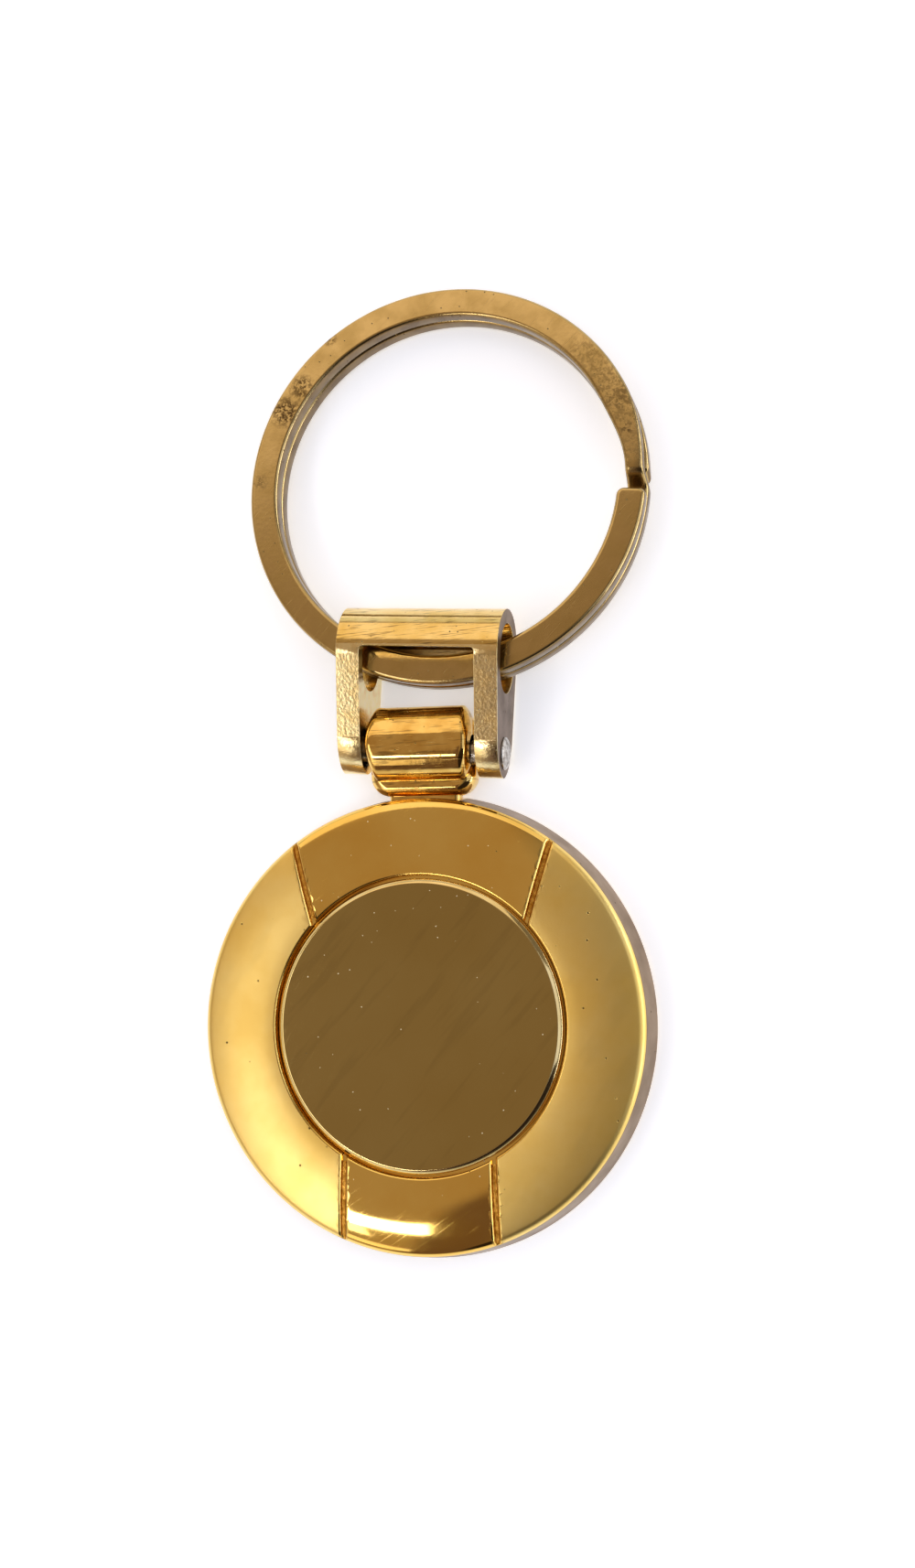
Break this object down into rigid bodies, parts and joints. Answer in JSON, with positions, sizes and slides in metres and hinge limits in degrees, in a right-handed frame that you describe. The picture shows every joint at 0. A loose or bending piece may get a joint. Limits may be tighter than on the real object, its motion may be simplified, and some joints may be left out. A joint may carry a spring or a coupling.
{
  "type": "engravable keyring",
  "caption": "Round gold-plated fob with an inset disc for engraving, a hinged shackle that folds to both faces, and a swinging split ring for keys.",
  "frame": {"origin": "centre of the fob's flat back", "axes": "+X across the fob to the right, 3 degrees off the hinge pin, +Y from the fob to the split ring, +Z out of the engraving disc"},
  "size_m": [0.0351, 0.0742, 0.0066],
  "materials": {
    "fob_gold_plate": "satin gold plating on a zinc casting, with polished bands above and below the disc",
    "disc_polished_brass": "mirror polished, lightly scratched",
    "adhesive": "thin double-sided adhesive pad",
    "shackle_gold_plate": "polished gold plating with fine casting pits",
    "pin_steel": "bare peened steel",
    "ring_gold_plate": "gold plating on flat spring-steel wire, worn in spots"
  },
  "bodies": {
    "fob": {"fob_body": "fob_gold_plate", "engraving_disc": "disc_polished_brass", "disc_adhesive": "adhesive"},
    "shackle": {"shackle": "shackle_gold_plate", "hinge_pin": "pin_steel"},
    "ring": {"split_ring": "ring_gold_plate"}
  },
  "joints": [
    {"name": "shackle_hinge", "type": "hinge", "parent": "fob", "child": "shackle", "pos_m": [0.0002, 0.0207, 0.0026], "axis": [0.9986, -0.0523, 0], "range_deg": [-106, 112]},
    {"name": "ring_swing", "type": "hinge", "parent": "shackle", "child": "ring", "pos_m": [0.00057, 0.02771, 0.00329], "axis": [0.9945, -0.1044, 0.0034], "range_deg": [-56, 72]}
  ]
}
